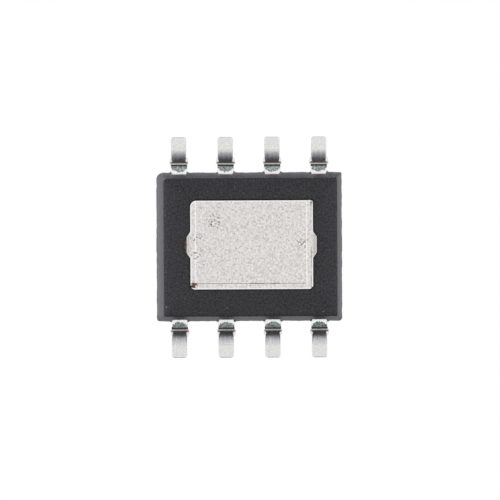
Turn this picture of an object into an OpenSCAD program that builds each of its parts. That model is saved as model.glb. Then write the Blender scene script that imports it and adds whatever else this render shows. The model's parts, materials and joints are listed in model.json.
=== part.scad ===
// Small-outline chip with eight gull-wing leads and a bare thermal pad in its underside.
// X runs along the body, Y across the leads and Z up. The feet stand on z = 0.
// Leads 1 to 4 run along -Y from -X to +X, and leads 5 to 8 come back along +Y.

/* [Body] */
// Length of the moulded body at its parting line
body_l = 5.05; // [4.8:0.05:5.2]
// Width of the moulded body at its parting line
body_w = 4.05; // [3.8:0.05:4.15]
// Height of the moulded body
body_h = 1.45; // [1.3:0.05:1.65]
// Gap between the board and the underside of the body
standoff = 0.05; // [0.02:0.01:0.15]
// Slope of the flanks, in degrees
draft = 15; // [7:0.5:16]
// Radius of the upright corners at the parting line
corner_r = 0.2; // [0.19:0.01:0.35]
// Diameter of the pin 1 dimple in the top
dimple_d = 0.6; // [0.3:0.05:0.8]
// Depth of the pin 1 dimple
dimple_depth = 0.06; // [0.02:0.01:0.1]
// Distance from the dimple's centre to the edges of the top
dimple_inset = 0.55; // [0.45:0.05:0.9]
// How far the resin flash reaches along each lead
flash_l = 0.05; // [0.02:0.01:0.1]
// How wide the resin flash is beside each lead
flash_w = 0.05; // [0.02:0.01:0.1]

/* [Leads] */
// Distance over the tips of the feet
span = 6; // [5.8:0.05:6.2]
// Distance between neighbouring leads
pitch = 1.27; // [1.2:0.01:1.3]
// Number of leads on each side
leads_per_side = 4; // [1:1:4]
// Thickness of the stamped strip, which the paddle shares
strip_t = 0.2; // [0.15:0.01:0.25]
// Inner radius of every bend
bend_r = 0.08; // [0.05:0.01:0.12]
// Flat length of each foot
foot_l = 0.37; // [0.3:0.01:0.45]
// Width of each foot
foot_w = 0.41; // [0.35:0.01:0.45]
// Width of each lead where it leaves the body
shoulder_w = 0.45; // [0.38:0.01:0.47]
// Lean of each leg from upright, in degrees
leg_lean = 8; // [2:1:12]
// Width over the two stubs left by the dam bar
stub_w = 0.5; // [0.48:0.01:0.6]
// Length of those stubs along the lead
stub_l = 0.1; // [0.06:0.01:0.14]

/* [Inner fingers] */
// Distance between the facing ends of the inner fingers
finger_gap = 2.7; // [2.6:0.05:2.9]
// Width of each finger's locking head
head_w = 0.6; // [0.5:0.05:0.7]
// Length of each finger's locking head
head_l = 0.26; // [0.2:0.02:0.3]

/* [Thermal paddle] */
// Resin between the bare pad and each end of the body
pad_end_gap = 0.845; // [0.78:0.005:0.95]
// Resin between the bare pad and each leaded side of the body
pad_side_gap = 0.805; // [0.75:0.005:0.9]
// Radius of the bare pad's corners
pad_r = 0.08; // [0.05:0.01:0.2]
// Radius of the bare pad's corner next to lead 1
pad_lead1_r = 0.17; // [0.1:0.01:0.25]
// How far the paddle lies off centre along X
pad_shift_x = 0.03; // [-0.05:0.01:0.05]
// How far the paddle lies off centre along Y
pad_shift_y = -0.05; // [-0.05:0.01:0.05]
// Width of the coined border along three of its sides
coin_w = 0.158; // [0.1:0.002:0.25]
// Depth of the coined border
coin_depth = 0.01; // [0.005:0.001:0.02]
// How far the locking rim reaches out into the resin
rim_w = 0.1; // [0.05:0.01:0.15]
// Thickness of the locking rim
rim_t = 0.07; // [0.05:0.01:0.1]
// Width of each tie bar
tie_w = 0.42; // [0.3:0.02:0.5]
// Bare length of each tie bar before it rises into the resin
tie_root_l = 0.1; // [0.05:0.01:0.15]
// Width of the slope on each side of a tie bar's root
tie_root_flare = 0.16; // [0.05:0.01:0.2]
// Slope of the rising tie bar, in degrees
tie_slope = 65; // [60:1:80]

/* [Die and wires] */
// Length of the silicon die
die_l = 1.8; // [1.5:0.1:2.2]
// Width of the silicon die
die_w = 1.3; // [1:0.1:1.5]
// Thickness of the silicon die
die_t = 0.2; // [0.1:0.01:0.25]
// Thickness of the adhesive under the die
attach_t = 0.03; // [0.02:0.005:0.05]
// How far the adhesive shows round the die
attach_rim = 0.08; // [0.04:0.01:0.1]
// Diameter of the bond wires
wire_d = 0.04; // [0.03:0.005:0.05]
// Diameter of the ball bond at each wire's start
ball_d = 0.09; // [0.08:0.01:0.12]
// Height of the pressed part of the ball bond
ball_h = 0.02; // [0.015:0.005:0.03]
// Radius of the bend at the top of each wire's loop
loop_r = 0.1; // [0.08:0.01:0.15]
// Downward slope of each wire to its finger, in degrees
wire_slope = 11; // [9:1:14]
// Distance between bond pads along the die
bond_pitch = 0.42; // [0.35:0.01:0.45]
// Distance from the bond pads to the die's edge
bond_inset = 0.1; // [0.08:0.01:0.15]

/* [Hidden] */
$fn = 48;
little = 0.001;
bend_steps = 10;
lead_count = 2 * leads_per_side;
strip_z = standoff + (body_h - strip_t) / 2; // underside of the strip where it enters the body
flank_h = (body_h - strip_t) / 2;
flank_in = flank_h * tan(draft);
bend_mid_r = bend_r + strip_t / 2;
leg_steep = 90 - leg_lean;
tie_rise = strip_z - standoff;
bend_y = span / 2 - foot_l - jog_l(strip_z, leg_steep); // where each shoulder starts to bend
pad_l = body_l - 2 * pad_end_gap;
pad_w = body_w - 2 * pad_side_gap;
tie_root_x = pad_l / 2 + tie_root_l;
finger_y = finger_gap / 2;
finger_top = strip_z + strip_t;
paddle_top = standoff + strip_t;
die_top = paddle_top + attach_t + die_t;

// Level distance between the start of the first bend and the end of the second,
// for a strip that drops by that height on a slope that steep, in degrees
function jog_l(drop, steep) = 2 * bend_mid_r * sin(steep)
    + (drop - 2 * bend_mid_r * (1 - cos(steep))) / tan(steep);

// Points along an arc round c
function arc(c, r, from, to) = [for (k = [0:bend_steps])
    let (a = from + (to - from) * k / bend_steps) c + r * [cos(a), sin(a)]];

// Side view of a strip that runs level, bends down, bends back and runs level again.
// The first bend starts at x = 0, and the lower level lies on y = 0.
function jogged_strip(upper_l, lower_l, drop, steep) =
    let (jog = jog_l(drop, steep), outer_r = bend_r + strip_t,
        c1 = [0, drop - bend_r], c2 = [jog, outer_r])
    concat([[-upper_l, drop + strip_t]], arc(c1, outer_r, 90, 90 - steep),
        arc(c2, bend_r, 270 - steep, 270), [[jog + lower_l, strip_t], [jog + lower_l, 0]],
        arc(c2, outer_r, 270, 270 - steep), arc(c1, bend_r, 90 - steep, 90), [[-upper_l, drop]]);

// A half outline with its mirror image, so that it closes about x = 0
function both_sides(half) = concat(half, [for (k = [len(half) - 1:-1:0]) [-half[k][0], half[k][1]]]);

// Side of the body that lead n leaves: -1 for the first half of the leads, then 1
function side_of(n) = n <= leads_per_side ? -1 : 1;

// Place along one side, from -X to +X
function place_of(n) = n <= leads_per_side ? n - 1 : lead_count - n;

// The places along a side, as numbers that are even about the middle
function along(n) = place_of(n) - (leads_per_side - 1) / 2;

// Rectangle with round corners
module round_rect(l, w, r) {
    square([l, w - 2 * r], center = true);
    square([l - 2 * r, w], center = true);
    for (x = [-1, 1], y = [-1, 1])
        translate([x * (l / 2 - r), y * (w / 2 - r)]) circle(r = r);
}

// Half of the body: full size on z = 0, and drawn in by the draft up to flank_h
module drafted_half() {
    core_x = body_l / 2 - corner_r;
    core_y = body_w / 2 - corner_r;
    face_r = corner_r - flank_in;
    rotate([90, 0, 0]) linear_extrude(2 * core_y, center = true)
        trapezoid(core_x + corner_r, core_x + face_r);
    rotate([90, 0, 90]) linear_extrude(2 * core_x, center = true)
        trapezoid(core_y + corner_r, core_y + face_r);
    for (x = [-1, 1], y = [-1, 1])
        translate([x * core_x, y * core_y, 0]) cylinder(h = flank_h, r1 = corner_r, r2 = face_r);
}

// Cross-section of one half of the body, from half-width a at its foot to b at its top
module trapezoid(a, b) {
    polygon([[-a, 0], [a, 0], [b, flank_h], [-b, flank_h]]);
}

// Both halves of the body, and the upright band between them where the strip lies
module body_block() {
    translate([0, 0, strip_z + strip_t]) drafted_half();
    translate([0, 0, strip_z]) mirror([0, 0, 1]) drafted_half();
    translate([0, 0, strip_z]) linear_extrude(strip_t) round_rect(body_l, body_w, corner_r);
}

// Resin left on both sides of one lead by the gap under the dam bar, rooted behind the corner
module flash() {
    for (s = [-1, 1])
        translate([s * shoulder_w / 2, body_w / 2, strip_z]) linear_extrude(strip_t)
            polygon([[0, -corner_r], [0, flash_l], [s * flash_w, 0], [s * flash_w, -corner_r]]);
}

// Copies what follows to the place of lead n, turned so that its own +Y points out
module at_lead(n) {
    translate([along(n) * pitch, 0, 0]) rotate(side_of(n) < 0 ? 180 : 0) children();
}

// Outline of a lead from above, from its locking head to just past the dam bar stubs
module finger_outline() {
    head_end = finger_y + head_l;
    head_taper = (head_w - shoulder_w) / 2;
    stub_start = bend_y - stub_l / 2;
    stub_end = bend_y + stub_l / 2;
    stub_taper = stub_l / 4;
    polygon(both_sides([[head_w / 2, finger_y], [head_w / 2, head_end],
        [shoulder_w / 2, head_end + head_taper], [shoulder_w / 2, stub_start],
        [stub_w / 2, stub_start + stub_taper], [stub_w / 2, stub_end - stub_taper],
        [shoulder_w / 2, stub_end]]));
}

// Outline of a leg and its foot from the end, narrowing from the shoulder to the heel
module leg_outline() {
    polygon(both_sides([[foot_w / 2, 0], [foot_w / 2, bend_r + strip_t],
        [shoulder_w / 2, strip_z], [shoulder_w / 2, finger_top]]));
}

// One gull-wing lead, with its own +Y pointing out of the body
module gull_wing() {
    intersection() {
        rotate([90, 0, 90]) linear_extrude(2 * head_w, center = true) translate([bend_y, 0])
            polygon(jogged_strip(bend_y - finger_y, foot_l, strip_z, leg_steep));
        union() {
            linear_extrude(finger_top) finger_outline();
            translate([0, span / 2, 0]) rotate([90, 0, 0])
                linear_extrude(span / 2 - bend_y) leg_outline();
        }
    }
}

module lead(n) {
    color("gainsboro") at_lead(n) gull_wing();
}

// Outline of the bare metal in the underside: the pad and the roots of its tie bars.
// It runs round from the end of the +X root, and only the corner next to lead 1 has its own radius.
module bare_outline() {
    flare_y = tie_w / 2 + tie_root_flare;
    x = pad_l / 2;
    y = pad_w / 2;
    polygon(concat([[tie_root_x, -tie_w / 2], [tie_root_x, tie_w / 2], [x, flare_y]],
        arc([x - pad_r, y - pad_r], pad_r, 0, 90), arc([pad_r - x, y - pad_r], pad_r, 90, 180),
        [[-x, flare_y], [-tie_root_x, tie_w / 2], [-tie_root_x, -tie_w / 2], [-x, -flare_y]],
        arc([pad_lead1_r - x, pad_lead1_r - y], pad_lead1_r, 180, 270),
        arc([x - pad_r, pad_r - y], pad_r, 270, 360), [[x, -flare_y]]));
}

// Pad, locking rim and both tie bars, without the coined border
module paddle_blank() {
    tie_jog = jog_l(tie_rise, tie_slope);
    linear_extrude(strip_t) bare_outline();
    translate([0, 0, strip_t - rim_t]) linear_extrude(rim_t)
        round_rect(pad_l + 2 * rim_w, pad_w + 2 * rim_w, pad_r + rim_w);
    for (s = [-1, 1])
        translate([s * (tie_root_x + tie_jog), 0, 0]) rotate([90, 0, s > 0 ? 180 : 0])
            linear_extrude(tie_w, center = true)
                polygon(jogged_strip(body_l / 2 - s * pad_shift_x - tie_root_x - tie_jog,
                    tie_root_l, tie_rise, tie_slope));
}

// Face of the pad inside its coined border, which the -Y side doesn't have
module pad_face() {
    translate([0, -coin_w / 2]) square([pad_l - 2 * coin_w, pad_w - coin_w], center = true);
}

module thermal_paddle() {
    color("lightgray") translate([pad_shift_x, pad_shift_y, standoff]) difference() {
        paddle_blank();
        translate([0, 0, -little]) linear_extrude(coin_depth + little) difference() {
            square([2 * pad_l, 2 * pad_w], center = true);
            pad_face();
        }
    }
}

// The pieces below take `sink` when the body's cavity is cut with them: it then reaches that far
// into the cavity of what they stand on, so that the two open into each other.
module die_attach(sink = 0) {
    color("gray") translate([pad_shift_x, pad_shift_y, paddle_top - sink])
        linear_extrude(attach_t + sink)
            round_rect(die_l + 2 * attach_rim, die_w + 2 * attach_rim, attach_rim);
}

module die(sink = 0) {
    color("slategray") translate([pad_shift_x, pad_shift_y, paddle_top + attach_t - sink])
        linear_extrude(die_t + sink) square([die_l, die_w], center = true);
}

// Bond wire n: a pressed ball, an upright neck, one bend and a straight run down to the finger,
// cut off flush where it lies on the metal
module bond_wire(n, sink = 0) {
    start = [pad_shift_x + along(n) * bond_pitch, pad_shift_y + side_of(n) * (die_w / 2 - bond_inset)];
    end = [along(n) * pitch, side_of(n) * (finger_y + head_l / 2)];
    reach = norm(end - start);
    run = (reach - loop_r * (1 + sin(wire_slope))) / cos(wire_slope);
    neck = finger_top - die_top - loop_r * cos(wire_slope) + run * sin(wire_slope);
    overrun = wire_d / tan(wire_slope);
    cut_h = 4 * wire_d;
    color("goldenrod") translate([start[0], start[1], die_top])
        rotate(atan2(end[1] - start[1], end[0] - start[0])) {
            translate([0, 0, -sink]) cylinder(h = ball_h + sink, d = ball_d);
            translate([0, 0, ball_h]) cylinder(h = ball_d - wire_d, d1 = ball_d, d2 = wire_d);
            cylinder(h = neck, d = wire_d);
            difference() {
                translate([loop_r, 0, neck]) rotate([90, 0, 0]) {
                    rotate(90 - wire_slope) rotate_extrude(angle = 90 + wire_slope)
                        translate([loop_r, 0]) circle(d = wire_d);
                    rotate(-wire_slope) translate([0, loop_r, 0])
                        rotate([0, 90, 0]) cylinder(h = run + overrun, d = wire_d);
                }
                translate([reach / 2, -wire_d, finger_top - die_top - cut_h - sink])
                    cube([reach, 2 * wire_d, cut_h]);
            }
        }
}

module mould_body() {
    color("#3b3c40") difference() {
        union() {
            body_block();
            for (n = [1:lead_count]) at_lead(n) flash();
        }
        translate([dimple_inset - body_l / 2 + flank_in, dimple_inset - body_w / 2 + flank_in,
            standoff + body_h - dimple_depth]) cylinder(h = 2 * dimple_depth, d = dimple_d);
        translate([pad_shift_x, pad_shift_y, standoff - little])
            linear_extrude(strip_t / 2) bare_outline();
        thermal_paddle();
        die_attach(little);
        die(little);
        for (n = [1:lead_count]) {
            lead(n);
            bond_wire(n, little);
        }
    }
}

mould_body();
thermal_paddle();
die_attach();
die();
for (n = [1:lead_count]) {
    lead(n);
    bond_wire(n);
}
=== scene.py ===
import json
import math

import bpy
import numpy as np
from mathutils import Matrix, Vector


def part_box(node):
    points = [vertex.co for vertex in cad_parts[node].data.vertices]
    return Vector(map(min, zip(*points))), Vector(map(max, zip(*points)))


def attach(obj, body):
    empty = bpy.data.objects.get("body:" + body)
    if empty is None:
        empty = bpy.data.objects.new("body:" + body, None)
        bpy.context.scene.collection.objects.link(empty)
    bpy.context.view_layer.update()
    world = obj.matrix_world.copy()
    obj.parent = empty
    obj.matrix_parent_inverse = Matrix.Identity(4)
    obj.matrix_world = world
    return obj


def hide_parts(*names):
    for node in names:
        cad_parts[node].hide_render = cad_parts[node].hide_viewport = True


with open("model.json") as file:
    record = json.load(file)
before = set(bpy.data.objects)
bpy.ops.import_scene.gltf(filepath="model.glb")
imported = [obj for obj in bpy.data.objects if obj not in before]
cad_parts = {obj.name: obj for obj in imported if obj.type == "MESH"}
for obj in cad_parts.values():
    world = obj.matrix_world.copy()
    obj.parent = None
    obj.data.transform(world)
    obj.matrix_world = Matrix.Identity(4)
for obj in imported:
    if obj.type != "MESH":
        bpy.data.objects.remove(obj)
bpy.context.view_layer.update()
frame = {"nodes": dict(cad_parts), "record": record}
mm = 0.001


# Lowest and highest corner of a node, in millimetres
def boxOf(node):
    low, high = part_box(node)
    return np.array(low) / mm, np.array(high) / mm


leadNames = sorted(n for n in frame["nodes"] if n.startswith("lead_"))
wireNames = sorted(n for n in frame["nodes"] if n.startswith("bond_wire_"))
bodyLow, bodyHigh = boxOf("mould_body")
leadBoxes = {n: boxOf(n) for n in leadNames}
leadX = {n: (low[0] + high[0]) / 2 for n, (low, high) in leadBoxes.items()}
leadSide = {n: math.copysign(1, low[1] + high[1]) for n, (low, high) in leadBoxes.items()}
padMount = next(m for m in frame["record"]["mounts"] if m["name"] == "thermal_pad")
mismatch = 0.042    # of the lower mould half and the pad, towards +X, mm
padSlip = 0.017     # of the pad alone, towards -Y, mm
padCentre = np.array(padMount["pos_m"][:2]) / mm + [mismatch, -padSlip]
print("frame loaded:", len(frame["nodes"]), "nodes")


# Soft step: 0 below low, 1 above high, and a smooth S between them
def softStep(low, high, x):
    t = np.clip((x - low) / (high - low), 0, 1)
    return t * t * (3 - 2 * t)


# A wavy value along x, about -1 to 1: a sum of sines whose periods have no common measure
def wavy(x, period, seed):
    phases = np.random.default_rng(seed).uniform(0, 2 * math.pi, 5)
    ratios = np.array([1, 1.618, 2.414, 3.303, 4.236])
    turns = 2 * math.pi * ratios * np.asarray(x)[..., None] / period
    return (np.sin(turns + phases) / ratios ** 0.5).sum(-1) / 2


# A path whose inner corners are arcs. Each arc touches both straight runs at a distance of
# radius / tan(half the corner's angle), and its points turn evenly from one to the other
def roundedPath(points, radii, steps=6):
    points = np.array(points, float)
    out = [points[:1]]
    for corner, before, after, radius in zip(points[1:-1], points[:-2], points[2:], radii):
        a = (before - corner) / np.linalg.norm(before - corner)
        b = (after - corner) / np.linalg.norm(after - corner)
        half = math.acos(np.clip(a @ b, -1, 1)) / 2
        centre = corner + (a + b) / np.linalg.norm(a + b) * radius / math.sin(half)
        start = corner + a * radius / math.tan(half) - centre
        end = corner + b * radius / math.tan(half) - centre
        turn = math.pi - 2 * half
        t = np.linspace(0, 1, steps)[:, None]
        out.append(centre + (np.sin((1 - t) * turn) * start + np.sin(t * turn) * end) / math.sin(turn))
    out.append(points[-1:])
    return np.concatenate(out)


# The same path with no step longer than a limit: each long step is cut into equal shares
def densePath(path, limit):
    out = [path[:1]]
    for a, b in zip(path[:-1], path[1:]):
        t = np.linspace(0, 1, int(np.linalg.norm(b - a) / limit) + 2)[1:, None]
        out.append(a + t * (b - a))
    return np.concatenate(out)


# Shell from rings of points: quads between neighbouring rings, and a fan on each end ring round
# the mean of its points. points is rings x columns x 3, and the columns run round and meet again
def ringShell(points, attributes):
    rings, columns = points.shape[:2]
    ids = np.arange(rings * columns).reshape(rings, columns)
    after = np.roll(ids, -1, axis=1)
    quads = np.stack([ids[:-1], after[:-1], after[1:], ids[1:]], -1).reshape(-1, 4)
    vertices = np.concatenate([points.reshape(-1, 3), points[0].mean(0)[None], points[-1].mean(0)[None]])
    first = np.stack([np.full(columns, len(vertices) - 2), after[0], ids[0]], -1)
    last = np.stack([np.full(columns, len(vertices) - 1), ids[-1], after[-1]], -1)
    values = {}
    for key, value in attributes.items():
        value = np.broadcast_to(value, (rings, columns))
        values[key] = np.concatenate([value.ravel(), [value[0].mean(), value[-1].mean()]])
    return vertices, quads, np.concatenate([first, last]), values


# One mesh object from several shells. A shell whose signed volume, the sum over its faces of
# a . (b x c), comes out negative has its faces turned round, so that all of them point outwards
def makePiece(name, shells):
    vertices, faces, values, start = [], [], {}, 0
    for points, quads, fans, attributes in shells:
        triangles = np.concatenate([quads[:, [0, 1, 2]], quads[:, [0, 2, 3]], fans])
        a, b, c = (points[triangles[:, i]] for i in range(3))
        turn = -1 if np.einsum("ij,ij->", a, np.cross(b, c)) < 0 else 1
        faces += (quads[:, ::turn] + start).tolist() + (fans[:, ::turn] + start).tolist()
        vertices.append(points * mm)
        for key, value in attributes.items():
            values.setdefault(key, []).append(value)
        start += len(points)
    mesh = bpy.data.meshes.new(name)
    mesh.from_pydata(np.concatenate(vertices).tolist(), [], faces)
    for key, value in values.items():
        layer = mesh.attributes.new(key, "FLOAT", "POINT")
        layer.data.foreach_set("value", np.concatenate(value).astype(np.float32))
    mesh.update()
    mesh.polygons.foreach_set("use_smooth", np.ones(len(mesh.polygons), bool))
    piece = bpy.data.objects.new(name, mesh)
    bpy.context.scene.collection.objects.link(piece)
    return piece


# A rounded rectangle as a ring of points, with the same count on each side and corner whatever
# its size. It starts at the foot of the +X side and runs round to the left. The radius may be one
# number, or four from the +X+Y corner round
def roundRectRing(halfX, halfY, radius, longSteps=400, shortSteps=300, cornerSteps=14):
    radii = np.broadcast_to(radius, 4)
    corners = np.array([(1, 1), (-1, 1), (-1, -1), (1, -1)])
    centres = corners * (np.array([halfX, halfY]) - radii[:, None])
    out = []
    for k, (centre, r) in enumerate(zip(centres, radii)):
        start = math.radians(90 * k)
        a = np.linspace(start, start + math.pi / 2, cornerSteps, endpoint=False)
        outward = np.array([math.cos(start), math.sin(start)])
        sideFrom = centres[k - 1] + outward * radii[k - 1]
        t = np.linspace(0, 1, longSteps if k % 2 else shortSteps, endpoint=False)[:, None]
        out.append(sideFrom + t * (centre + outward * r - sideFrom))
        out.append(centre + r * np.stack([np.cos(a), np.sin(a)], -1))
    return np.concatenate(out)


# Lays a flat ring at a height, which may be one number or one for each point
def atHeight(ring, z):
    return np.concatenate([ring, np.broadcast_to(z, len(ring))[:, None]], -1)


# The stamped strip that the pad and the leads are cut from runs along the middle of the body
halfX = bodyHigh[0]
floorZ, roofZ = bodyLow[2], bodyHigh[2]
middleZ = (floorZ + roofZ) / 2
stripHigh = leadBoxes["lead_1"][1][2]
stripT = 2 * (stripHigh - middleZ)
stripLow = middleZ - stripT / 2

# In the dictionaries of the pieces a length is in millimetres, and two numbers in brackets are where
# something fades out and where it is full, unless the note says otherwise
pad = {
    "length": 3.34,
    "width": 2.42,
    "radii": (0.11, 0.12, 0.17, 0.06),   # corners from +X+Y round; the pin 1 corner is the roundest
    "edgeRadius": 0.02,
    "coinWidth": 0.16,         # coined border along both ends and the +Y side
    "coinShift": -0.015,       # of the coining tool along X
    "coinDepth": 0.01,
    "coinStep": 0.008,         # half the width of the step down to it
    "lip": 0.004,              # how proud the coining tool leaves the border's inner edge
    "lipPlace": 0.012,         # its distance from the middle of the step
    "rimReach": 0.1,           # locking rim inside the resin
    "rimThickness": 0.07,
    "rimRadii": 0.1,           # its corners
    "topInset": 0.3,           # last ring of the pad's upper side
    "rootLength": 0.1,         # bare root of each tie bar
    "rootFlare": 0.16,
    "rootFade": (0.3, 0.05),   # inset at which a ring bulges out with the roots
    "tieWidth": 0.42,
    "tieSlope": 65,            # degrees
    "tieLap": 0.02,            # level start of each tie bar, behind the root's edge
    "tieBehind": 0.004,        # how far it stands back behind the coined border
    "tieSink": 0.03,           # how far the +X one turns up before the root's edge, out of sight
    "tieRun": 1.0,             # level run at its upper end, cut off at the end of the body
    "tieProud": 0.006,         # its cut end, past the parting line
    "tieSteps": 90,
    "bendRadius": 0.08,
    "slot": 0.045,             # opening past the -X root, where the tie bar's copper shows
    "slotPlace": 0.03,         # its middle, along Y
    "slotHalf": (0.18, 0.15),  # half its length
    "shadowLineInset": 0.05,         # of the painted shadow line from the +X edge
    "shadowLineWidth": 0.028,
    "endHighlight": (0.024, 0.01),    # half width of the painted highlight at each end's coined step
    "edgeHighlight": (0.045, 0.025),  # width of the painted highlight on the edge
    "sideLine": (0.02, 0.006),     # half width of the painted shade line at the side's coined step
    "rootGrey": (0.15, 0.2),       # past the step, where the roots turn grey
    # scuffs and corners of bare copper: x, y and reach
    "scuffs": ((-0.95, -0.72, 0.27), (-1.42, -0.25, 0.16), (-1.42, 0.2, 0.16), (1.44, -0.1, 0.2)),
    "corners": ((-1.51, 1.05, 0.075), (1.7, -1.22, 0.04), (1.7, 1.17, 0.07)),
    "copperWander": 0.3,       # how far the copper's edge wanders
    "copperFade": (0.165, 0.14),   # past its reach
}


# Ring round the bare pad and its tie bar roots, drawn in by inset, about the pad's centre.
# The ends bulge out where the roots leave: full reach over the tie bar's width, then a slope
def bareRing(inset=0.0, rootShare=1.0, slot=0.0):
    radii = np.maximum(np.array(pad["radii"]) - inset, pad["edgeRadius"])
    ring = roundRectRing(pad["length"] / 2 - inset, pad["width"] / 2 - inset, radii)
    sideways = roundRectRing(1, 1, 1)[:, 0]
    y = np.abs(ring[:, 1])
    slope = np.clip((pad["tieWidth"] / 2 + pad["rootFlare"] - y) / pad["rootFlare"], 0, 1)
    bulge = (slope + softStep(0, 1, slope)) / 2 * pad["rootLength"] * rootShare
    bulge += slot * softStep(*pad["slotHalf"], np.abs(ring[:, 1] - pad["slotPlace"])) * (sideways < 0)
    ring[:, 0] += np.where(np.abs(sideways) > 0.999, np.sign(sideways) * bulge, 0)
    return ring + padCentre


# How far a strip goes, and how far it has dropped, along its middle line: it runs level, turns
# down by the angle on its bend radius, runs straight, and turns back level. Both are running
# sums of the cosine and sine of the angle over 2000 equal steps
def joggedLine(upper, lower, drop, steep, bendRadius, steps):
    steep = math.radians(steep)
    radius = bendRadius + stripT / 2
    bend = radius * steep
    slope = (drop - 2 * radius * (1 - math.cos(steep))) / math.sin(steep)
    s = np.linspace(0, upper + 2 * bend + slope + lower, 2001)
    angle = np.interp(s, np.cumsum([upper, bend, slope, bend]), [0, steep, steep, 0])
    middle = (angle[1:] + angle[:-1]) / 2
    out = np.concatenate([[0], np.cumsum(np.cos(middle)) * s[1]])
    down = np.concatenate([[0], np.cumsum(np.sin(middle)) * s[1]])
    t = np.linspace(0, s[-1], steps)
    return t, np.interp(t, s, out), np.interp(t, s, down), np.interp(t, s, angle)


# Section of a strip as a ring of unit steps: how far each point is along the flat width and
# thickness, and its place on the quarter circle of its corner
def stripSection(flatSteps=16, sideSteps=5, cornerSteps=5):
    out = []
    for k, (x, y) in enumerate([(1, 1), (-1, 1), (-1, -1), (1, -1)]):
        a = np.linspace(math.pi / 2 * k, math.pi / 2 * (k + 1), cornerSteps)
        out.append(np.stack([np.full_like(a, x), np.full_like(a, y), np.cos(a), np.sin(a)], -1))
        t = np.linspace(0, 1, (flatSteps if k % 2 == 0 else sideSteps) + 2)[1:-1]
        across = (1 - 2 * t) * x if k % 2 == 0 else np.full_like(t, x)
        through = (1 - 2 * t) * y if k % 2 else np.full_like(t, y)
        cosine, sine = np.full_like(t, np.cos(a[-1])), np.full_like(t, np.sin(a[-1]))
        out.append(np.stack([across, through, cosine, sine], -1))
    return np.concatenate(out)


# Black resin: epoxy moulding compound from a spark-eroded mould
resin = {
    "endDraft": 15.2,          # slope of the ends' flanks, degrees
    "sideDraft": 13.5,         # and of the leaded sides
    "cornerRadii": (0.09, 0.08, 0.19, 0.06),   # upright, from +X+Y round; pin 1 has the roundest
    "leastRadius": 0.04,       # of the same corners further in
    "edgeRadius": 0.045,       # wear of the edges round the top and underside
    "edgeFlat": 0.1,           # flat border that the profile takes in beside them
    "bandRadius": 0.012,       # of the edges of the parting line's band
    "profileStep": 0.04,       # longest step between two rings
    "flash": 0.05,             # reach and width of the resin beside each lead
    "flashShare": (0.55, 1),   # least and most of that reach
    "flashSeed": 4,
    "flashLap": 0.008,         # how far it runs in over the lead's edge
    "flashHeight": (0.01, -0.008),   # past the strip's faces
    "exitSetback": 0.045,      # of the flank above and below each lead
    "exitBlend": 0.012,        # half the width of its soft sides
    "exitHeight": (0.2, 0.02),   # of the setback, past the strip's faces
    "exitShade": (0.1, 0.02),  # of the painted shadow there, past the strip's faces
    "ragged": 0.006,           # unevenness of the parting line
    "raggedPeriod": 0.9,
    "raggedSeed": 7,
    "raggedHeight": 0.16,      # how fast it fades up and down the flanks
    "tieCalm": (0.06, 0.02),   # reach beside a tie bar's end where that line runs straight
    "ripple": 0.002,           # unevenness of the flanks
    "ripplePeriod": 0.5,
    "rippleSeed": 9,
    "rippleTwist": 3,          # how far the ripple moves along for each millimetre up
    "flankEdge": (0.004, -0.02),   # past the edge with the top or underside
    "edgeSheen": 0.4,               # painted sheen along the underside's end edges, and how fast it fades inwards
    "edgeSheenFade": 0.09,
    "edgeShade": 0.5,               # painted shade along the +Y lower edge, and its reach inwards and outwards
    "edgeShadeReach": (0.06, 0.012),
    "paleFade": 0.2,           # how fast the painted sheen on the sides' lower flanks fades below the parting line
    "farPale": 0.2,            # share of that painted sheen on the +Y side
    "shadeHeight": (0.55, 0.1), # heights between which the painted shade starts and is full
    "sideFade": (0.225, 0.125),   # inside the parting line, between which a side's flank starts
    "dimple": 0.6,             # diameter of the pin 1 dimple
    "dimpleDepth": 0.06,
    "dimpleInset": 0.55,
    "dimpleWall": 0.015,       # draft of its wall, and the radius above it
    "dimpleFoot": 0.02,        # radius at the foot of the wall
    "dimpleFlat": 0.05,        # last ring outside it
    "dimpleFloor": 0.1,        # last ring inside its edge
    "polishFade": 0.02,
    "recess": 0.07,            # height of the wall round the bare pad
    "chamfer": 0.03,           # at the opening's lip
    "lipRings": (0.012, 0.05), # past the lip
    "wallShades": (1, 1, 0.9, 0.4, 0),   # painted shadow on the wall, the lip and those two rings
}
halfY = bodyHigh[1] - resin["flash"]


# Profile of the body: how far each ring is drawn in at the ends and at the sides, and its height.
# It runs from the underside out to the band of the parting line, and back in to the top
def bodyProfile():
    rise = stripLow - floorZ
    ends, sides = (rise * math.tan(math.radians(resin[key])) for key in ("endDraft", "sideDraft"))
    flat = resin["edgeFlat"]
    corners = [(ends + flat, sides + flat, floorZ), (ends, sides, floorZ), (0, 0, stripLow),
               (0, 0, stripHigh), (ends, sides, roofZ), (ends + flat, sides + flat, roofZ)]
    radii = [resin[key] for key in ("edgeRadius", "bandRadius", "bandRadius", "edgeRadius")]
    return ends, sides, densePath(roundedPath(corners, radii), resin["profileStep"])


# Round the parting outline: how far the flash stands out, which falls off in a straight line from
# each lead's edge, and 1 over the width of each lead
def leadExits(outline, outward, shoulderWidth):
    flash, exits = np.zeros(len(outline)), np.zeros(len(outline))
    rng = np.random.default_rng(resin["flashSeed"])
    edge, blend = shoulderWidth / 2, resin["exitBlend"]
    for name in leadNames:
        x = outline[:, 0] - leadX[name]
        sameSide = outward[:, 1] * leadSide[name] > 0.99
        reach = resin["flash"] * np.where(x > 0, *rng.uniform(*resin["flashShare"], 2))
        beside = sameSide & (np.abs(x) > edge - resin["flashLap"])
        flash += beside * reach * np.clip(1 - (np.abs(x) - edge) / resin["flash"], 0, 1)
        exits += sameSide * softStep(edge + blend, edge - blend, np.abs(x))
    return flash * (1 - exits), exits
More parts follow.
